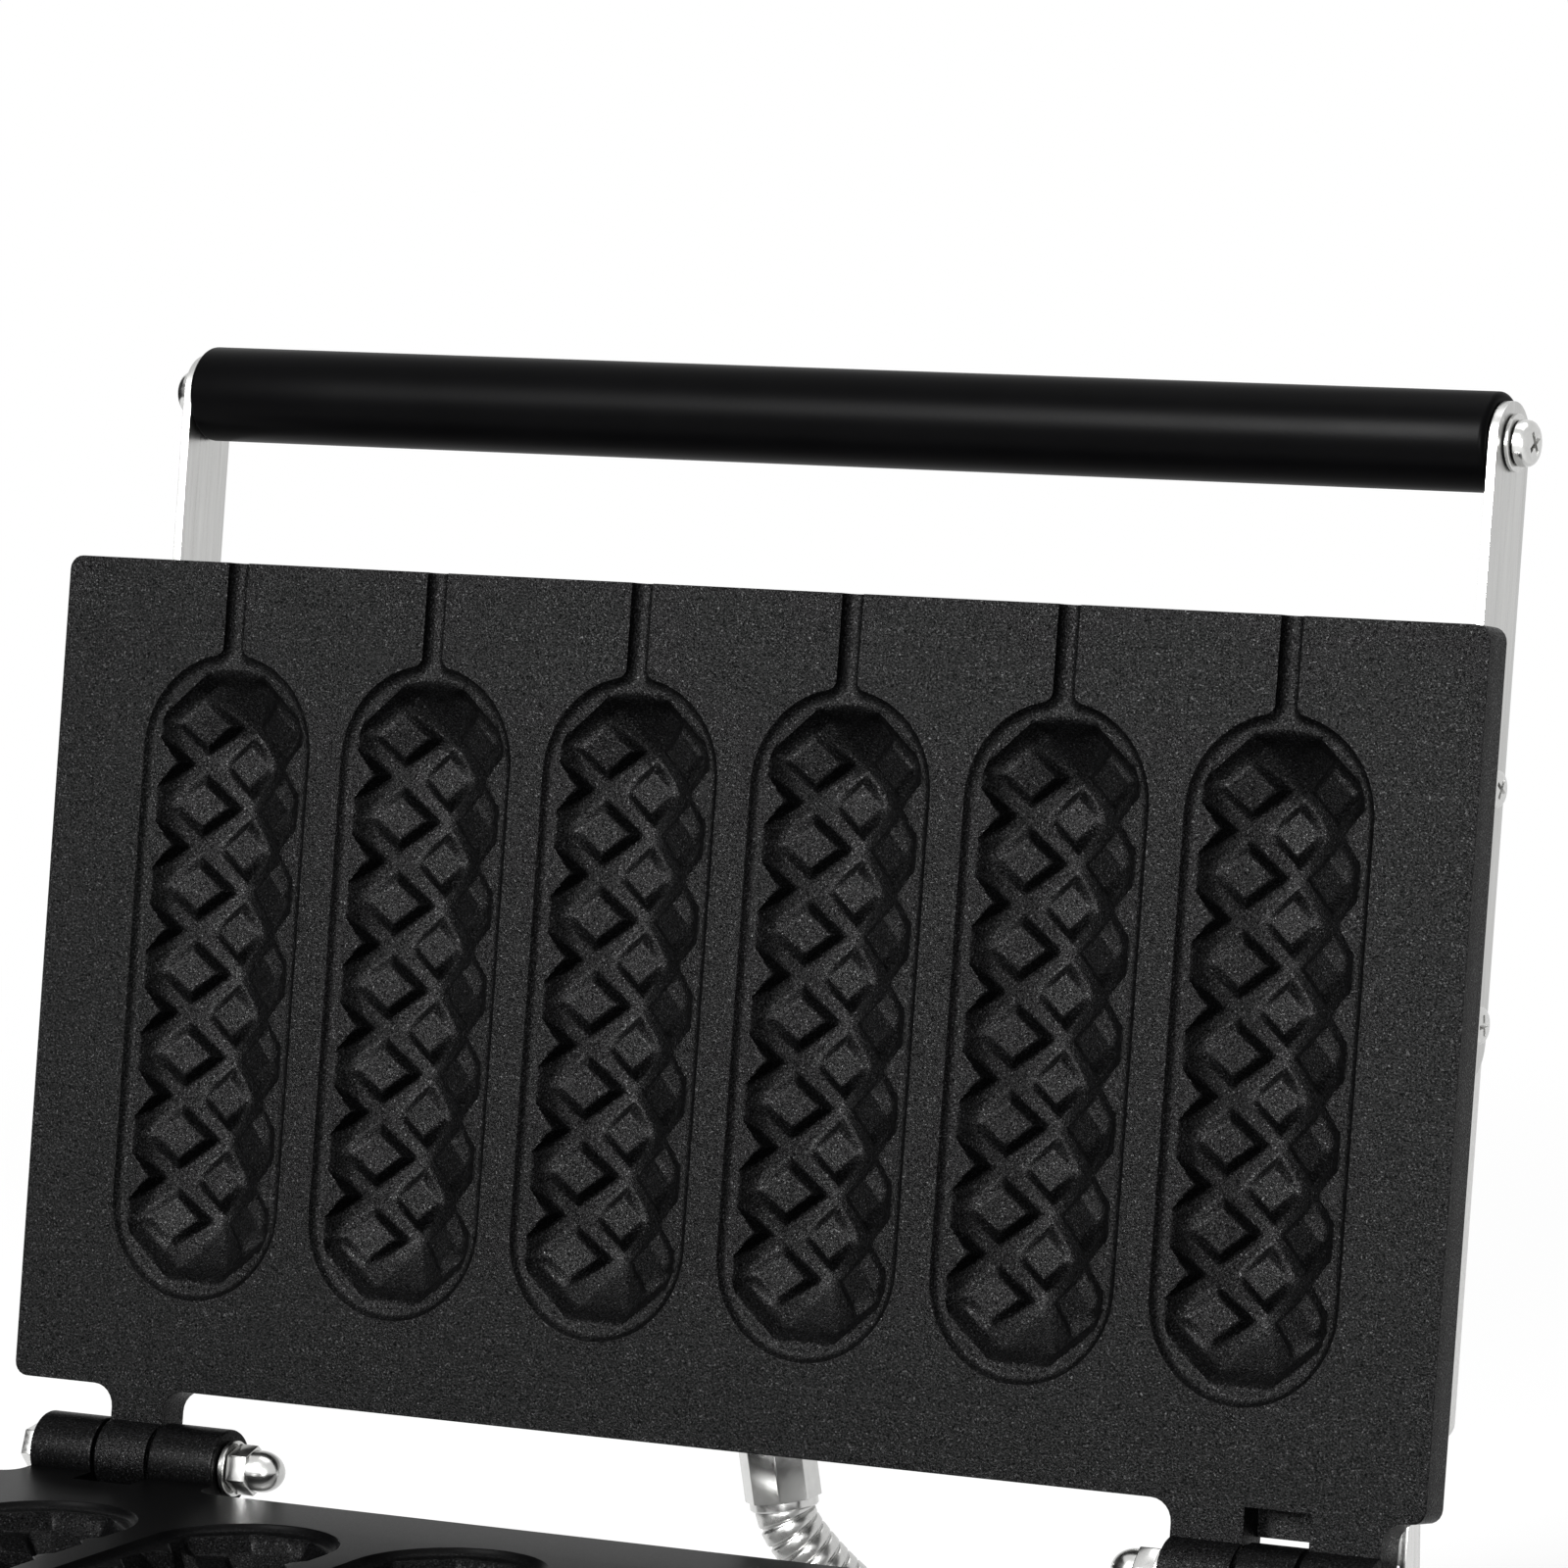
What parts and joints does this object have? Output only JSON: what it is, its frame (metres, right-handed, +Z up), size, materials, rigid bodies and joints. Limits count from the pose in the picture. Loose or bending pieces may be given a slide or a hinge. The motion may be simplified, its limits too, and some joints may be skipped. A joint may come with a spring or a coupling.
{
  "type": "waffle stick maker",
  "caption": "Countertop iron for waffles on sticks: two hinged non-stick plates with long cavities, steel base with controls, steel lid with bar handle.",
  "frame": {"origin": "on the ground, under the middle of the whole object's box with the lid open", "axes": "+Z up, -Y towards the user (the side with the controls), +X to the user's right; the lid hinge runs along X at the rear"},
  "size_m": [0.35, 0.3283, 0.3685],
  "materials": {
    "coated_plate": "cast aluminium with a dark non-stick coating that holds fine bright flecks",
    "steel_sheet": "brushed stainless steel sheet",
    "arm_steel": "brushed stainless steel flat bar",
    "bright_steel": "bright plated or polished steel",
    "conduit_steel": "interlocked steel conduit",
    "grip_plastic": "black moulded plastic, satin",
    "black_plastic": "black moulded plastic",
    "rubber": "black rubber",
    "heating_element": "oxidised sheathed element",
    "insulation_wool": "ceramic fibre blanket",
    "panel_paint": "black painted panel with plain white numbers on the dials",
    "green_lens": "green lamp lens",
    "red_lens": "red lamp lens",
    "moulded_ceramic": "off-white moulded insulator"
  },
  "bodies": {
    "base": {"base_housing": "steel_sheet", "base_bottom_cover": "steel_sheet", "foot_front_left": "rubber", "foot_front_right": "rubber", "foot_rear_left": "rubber", "foot_rear_right": "rubber", "lower_plate": "coated_plate", "lower_heater": "heating_element", "lower_heater_clamp": "steel_sheet", "lower_insulation": "insulation_wool", "lower_heat_shield": "steel_sheet", "shield_screw_1": "bright_steel", "shield_screw_2": "bright_steel", "shield_screw_3": "bright_steel", "shield_screw_4": "bright_steel", "control_panel": "panel_paint", "timer_body": "moulded_ceramic", "thermostat_body": "moulded_ceramic", "power_lamp": "green_lens", "heating_lamp": "red_lens", "switch_body": "black_plastic", "terminal_block": "moulded_ceramic", "cable_gland": "black_plastic", "cable_gland_nut": "black_plastic", "conduit_base_fitting": "bright_steel", "conduit_hose": "conduit_steel", "hinge_bolt_left": "bright_steel", "hinge_bolt_right": "bright_steel", "hinge_washer_left": "bright_steel", "hinge_washer_right": "bright_steel", "hinge_nut_left": "bright_steel", "hinge_nut_right": "bright_steel", "lid_stop_bracket": "arm_steel", "bracket_screw_1": "bright_steel", "bracket_screw_2": "bright_steel"},
    "lid": {"upper_plate": "coated_plate", "upper_heater": "heating_element", "upper_heater_clamp": "steel_sheet", "upper_insulation": "insulation_wool", "lid_cover": "steel_sheet", "cover_screw_1": "bright_steel", "cover_screw_2": "bright_steel", "cover_screw_3": "bright_steel", "cover_screw_4": "bright_steel", "handle_arm_left": "arm_steel", "handle_arm_right": "arm_steel", "handle_grip": "grip_plastic", "handle_screw_left": "bright_steel", "handle_screw_right": "bright_steel", "handle_washer_left": "bright_steel", "handle_washer_right": "bright_steel", "arm_screw_left_1": "bright_steel", "arm_screw_left_2": "bright_steel", "arm_screw_right_1": "bright_steel", "arm_screw_right_2": "bright_steel", "conduit_lid_ferrule": "bright_steel"},
    "timer_knob": {"timer_knob": "grip_plastic"},
    "thermostat_knob": {"thermostat_knob": "grip_plastic"},
    "switch_rocker": {"switch_rocker": "black_plastic"}
  },
  "joints": [
    {"name": "lid_hinge", "type": "hinge", "parent": "base", "child": "lid", "pos_m": [0, 0.08743, 0.122], "axis": [1, 0, 0], "range_deg": [0, 98.5], "deforming": ["conduit_hose"]},
    {"name": "timer_knob_turn", "type": "hinge", "parent": "base", "child": "timer_knob", "pos_m": [-0.088, -0.14617, 0.062], "axis": [0, 1, 0], "range_deg": [0, 300]},
    {"name": "thermostat_knob_turn", "type": "hinge", "parent": "base", "child": "thermostat_knob", "pos_m": [0.088, -0.14617, 0.062], "axis": [0, 1, 0], "range_deg": [0, 270]},
    {"name": "switch_rock", "type": "hinge", "parent": "base", "child": "switch_rocker", "pos_m": [0, -0.14617, 0.045], "axis": [-1, 0, 0], "range_deg": [0, 20]}
  ]
}
